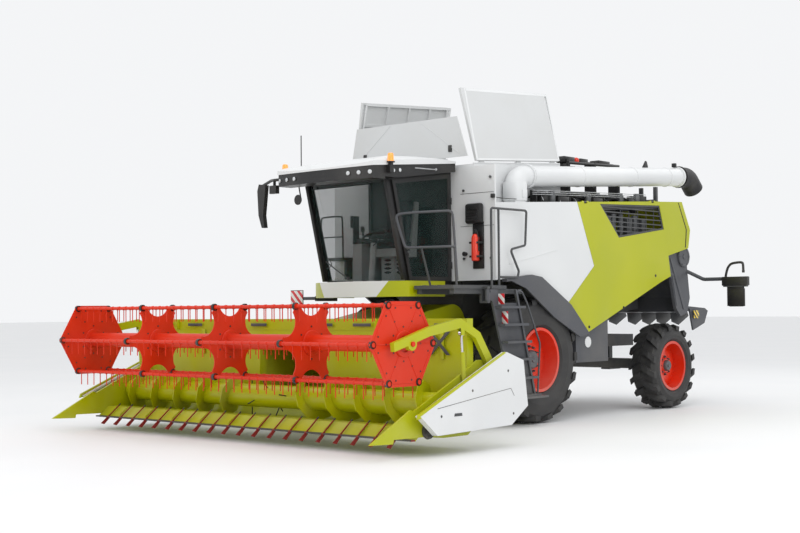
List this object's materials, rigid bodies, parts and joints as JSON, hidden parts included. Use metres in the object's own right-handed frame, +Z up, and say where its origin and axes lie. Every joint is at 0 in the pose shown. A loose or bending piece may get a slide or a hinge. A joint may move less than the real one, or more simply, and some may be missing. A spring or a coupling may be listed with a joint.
{
  "type": "combine harvester with a grain header and six-bar pickup reel",
  "caption": "Lime green and white wheeled combine harvester with a cutting header, a red pickup reel, open tank covers and a long unloading pipe",
  "frame": {"origin": "on the ground below the middle of the machine's bounding box, a few millimetres ahead of the front axle's wheel contact line", "axes": "+Z up, +X to the machine's left, +Y to its rear; the machine drives towards -Y"},
  "size_m": [6.66, 10.696, 5.1243],
  "materials": {
    "lime_paint": "gloss",
    "white_paint": "gloss",
    "dark_grey_paint": "satin",
    "mid_grey_paint": "satin",
    "black_paint": "satin",
    "red_paint": "gloss",
    "orange_red_paint": "satin",
    "tyre_rubber": "matte",
    "soft_rubber": "matte",
    "chrome_rod": "polished",
    "spring_steel": "satin",
    "grey_plastic": "matte",
    "cab_glass": "polished",
    "cast_steel": "matte",
    "galvanised": "satin"
  },
  "bodies": {
    "chassis": {"chassis_frame": "dark_grey_paint", "side_boxes": "dark_grey_paint", "body_frame": "dark_grey_paint", "lift_brackets": "dark_grey_paint", "roof_fittings": "dark_grey_paint", "bumper_corners": "lime_paint", "threshing_body": "galvanised", "front_axle": "dark_grey_paint", "rear_axle": "dark_grey_paint", "side_panels_white": "white_paint", "mudguards": "mid_grey_paint", "grain_tank": "white_paint", "engine": "black_paint", "rear_hood": "lime_paint", "chopper_housing": "dark_grey_paint", "cab_frame": "dark_grey_paint", "cab_roof": "white_paint", "cab_glass": "cab_glass", "cab_interior": "grey_plastic", "cab_bumper": "white_paint", "platform": "dark_grey_paint"},
    "front_wheel_left": {"front_wheel_left": "red_paint", "front_tyre_left": "tyre_rubber"},
    "front_wheel_right": {"front_wheel_right": "red_paint", "front_tyre_right": "tyre_rubber"},
    "knuckle_left": {"steering_knuckle_left": "cast_steel"},
    "knuckle_right": {"steering_knuckle_right": "cast_steel"},
    "rear_wheel_left": {"rear_wheel_left": "red_paint", "rear_tyre_left": "tyre_rubber"},
    "rear_wheel_right": {"rear_wheel_right": "red_paint", "rear_tyre_right": "tyre_rubber"},
    "feeder": {"feeder_house": "lime_paint", "header_frame": "lime_paint", "header_shields": "white_paint", "knife_bar": "black_paint"},
    "lift_barrels": {"lift_barrels": "black_paint"},
    "lift_rods": {"lift_rods": "chrome_rod"},
    "auger": {"auger": "lime_paint"},
    "reel_arms": {"reel_arms": "lime_paint"},
    "reel_barrels": {"reel_barrels": "black_paint"},
    "reel_rods": {"reel_rods": "chrome_rod"},
    "reel": {"reel": "orange_red_paint"},
    "pipe": {"unloading_pipe": "white_paint", "pipe_spout": "soft_rubber"},
    "cab_door": {"cab_door": "dark_grey_paint", "door_glass": "cab_glass"},
    "ladder": {"ladder": "mid_grey_paint"},
    "cover_left": {"tank_cover_left": "grey_plastic"},
    "cover_right": {"tank_cover_right": "grey_plastic"},
    "flap": {"tank_flap": "grey_plastic"},
    "panel_left": {"side_panel_green_left": "lime_paint", "grille_left": "black_paint"},
    "panel_right": {"side_panel_green_right": "lime_paint", "grille_right": "black_paint"},
    "tine_bar_1": {"tine_bar_1": "orange_red_paint"},
    "tine_bar_2": {"tine_bar_2": "orange_red_paint"},
    "tine_bar_3": {"tine_bar_3": "orange_red_paint"},
    "tine_bar_4": {"tine_bar_4": "orange_red_paint"},
    "tine_bar_5": {"tine_bar_5": "orange_red_paint"},
    "tine_bar_6": {"tine_bar_6": "orange_red_paint"}
  },
  "joints": [
    {"name": "front_wheel_left_spin", "type": "hinge", "parent": "chassis", "child": "front_wheel_left", "pos_m": [1.325, 0, 0.95], "axis": [1, 0, 0], "continuous": true},
    {"name": "front_wheel_right_spin", "type": "hinge", "parent": "chassis", "child": "front_wheel_right", "pos_m": [-1.325, 0, 0.95], "axis": [1, 0, 0], "continuous": true},
    {"name": "steer_left", "type": "hinge", "parent": "chassis", "child": "knuckle_left", "pos_m": [1.08, 3.82, 0.722], "axis": [0, 0, 1], "range_deg": [-40, 40]},
    {"name": "steer_right", "type": "hinge", "parent": "chassis", "child": "knuckle_right", "pos_m": [-1.08, 3.82, 0.722], "axis": [0, 0, 1], "range_deg": [-40, 40]},
    {"name": "rear_wheel_left_spin", "type": "hinge", "parent": "knuckle_left", "child": "rear_wheel_left", "pos_m": [1.4, 3.82, 0.722], "axis": [1, 0, 0], "continuous": true},
    {"name": "rear_wheel_right_spin", "type": "hinge", "parent": "knuckle_right", "child": "rear_wheel_right", "pos_m": [-1.4, 3.82, 0.722], "axis": [1, 0, 0], "continuous": true},
    {"name": "header_lift", "type": "hinge", "parent": "chassis", "child": "feeder", "pos_m": [0, -0.95, 1.5], "axis": [-1, 0, 0], "range_deg": [0, 14]},
    {"name": "lift_barrels_swing", "type": "hinge", "parent": "chassis", "child": "lift_barrels", "pos_m": [0, -0.33, 0.76], "axis": [-1, 0, 0], "range_deg": [0, 9]},
    {"name": "lift_rods_slide", "type": "slide", "parent": "lift_barrels", "child": "lift_rods", "axis": [0, -0.9976, 0.0699], "range_m": [0, 0.17]},
    {"name": "auger_spin", "type": "hinge", "parent": "feeder", "child": "auger", "pos_m": [0, -3.92, 0.56], "axis": [1, 0, 0], "continuous": true},
    {"name": "reel_lift", "type": "hinge", "parent": "feeder", "child": "reel_arms", "pos_m": [0, -3.2, 1.01], "axis": [-1, 0, 0], "range_deg": [-9, 24]},
    {"name": "reel_barrels_swing", "type": "hinge", "parent": "feeder", "child": "reel_barrels", "pos_m": [0, -3.7, 0.64], "axis": [-1, 0, 0], "range_deg": [-6, 15]},
    {"name": "reel_rods_slide", "type": "slide", "parent": "reel_barrels", "child": "reel_rods", "axis": [0, -0.0762, 0.9971], "range_m": [-0.1, 0.22]},
    {"name": "reel_spin", "type": "hinge", "parent": "reel_arms", "child": "reel", "pos_m": [0, -4.678, 1.317], "axis": [1, 0, 0], "continuous": true},
    {"name": "tine_bar_1_spin", "type": "hinge", "parent": "reel", "child": "tine_bar_1", "pos_m": [0, -4.158, 1.317], "axis": [1, 0, 0], "continuous": true},
    {"name": "tine_bar_2_spin", "type": "hinge", "parent": "reel", "child": "tine_bar_2", "pos_m": [0, -4.418, 1.76733], "axis": [1, 0, 0], "continuous": true},
    {"name": "tine_bar_3_spin", "type": "hinge", "parent": "reel", "child": "tine_bar_3", "pos_m": [0, -4.938, 1.76733], "axis": [1, 0, 0], "continuous": true},
    {"name": "tine_bar_4_spin", "type": "hinge", "parent": "reel", "child": "tine_bar_4", "pos_m": [0, -5.198, 1.317], "axis": [1, 0, 0], "continuous": true},
    {"name": "tine_bar_5_spin", "type": "hinge", "parent": "reel", "child": "tine_bar_5", "pos_m": [0, -4.938, 0.86667], "axis": [1, 0, 0], "continuous": true},
    {"name": "tine_bar_6_spin", "type": "hinge", "parent": "reel", "child": "tine_bar_6", "pos_m": [0, -4.418, 0.86667], "axis": [1, 0, 0], "continuous": true},
    {"name": "pipe_swing", "type": "hinge", "parent": "chassis", "child": "pipe", "pos_m": [1.395, -0.3, 3.5], "axis": [0, 0, -1], "range_deg": [0, 105]},
    {"name": "cab_door_hinge", "type": "hinge", "parent": "chassis", "child": "cab_door", "pos_m": [0.821, -1.11, 2.8], "axis": [0, 0, 1], "range_deg": [0, 65]},
    {"name": "ladder_swing", "type": "hinge", "parent": "chassis", "child": "ladder", "pos_m": [1.745, -1.44, 1.3], "axis": [0, 0, -1], "range_deg": [0, 90]},
    {"name": "cover_left_hinge", "type": "hinge", "parent": "chassis", "child": "cover_left", "pos_m": [1.205, -1.01, 3.86286], "axis": [0, -0.9975, -0.0712], "range_deg": [0, 78]},
    {"name": "cover_right_hinge", "type": "hinge", "parent": "chassis", "child": "cover_right", "pos_m": [-1.205, -1.01, 3.86286], "axis": [0, 0.9975, 0.0712], "range_deg": [0, 78]},
    {"name": "flap_hinge", "type": "hinge", "parent": "chassis", "child": "flap", "pos_m": [0, -1.125, 3.925], "axis": [-1, 0, 0], "range_deg": [0, 90]},
    {"name": "panel_left_hinge", "type": "hinge", "parent": "chassis", "child": "panel_left", "pos_m": [1.59, -1.05, 3.25], "axis": [0, -0.9984, -0.0574], "range_deg": [0, 75]},
    {"name": "panel_right_hinge", "type": "hinge", "parent": "chassis", "child": "panel_right", "pos_m": [-1.59, -1.05, 3.25], "axis": [0, 0.9984, 0.0574], "range_deg": [0, 75]}
  ],
  "couplings": [
    {"joint": "steer_right", "follows": "steer_left", "ratio": 1},
    {"joint": "lift_barrels_swing", "follows": "header_lift", "ratio": 0.568},
    {"joint": "lift_rods_slide", "follows": "header_lift", "m_per_rad": 0.6546},
    {"joint": "reel_barrels_swing", "follows": "reel_lift", "ratio": 0.5673},
    {"joint": "reel_rods_slide", "follows": "reel_lift", "m_per_rad": 0.499},
    {"joint": "tine_bar_1_spin", "follows": "reel_spin", "ratio": -1},
    {"joint": "tine_bar_2_spin", "follows": "reel_spin", "ratio": -1},
    {"joint": "tine_bar_3_spin", "follows": "reel_spin", "ratio": -1},
    {"joint": "tine_bar_4_spin", "follows": "reel_spin", "ratio": -1},
    {"joint": "tine_bar_5_spin", "follows": "reel_spin", "ratio": -1},
    {"joint": "tine_bar_6_spin", "follows": "reel_spin", "ratio": -1}
  ]
}
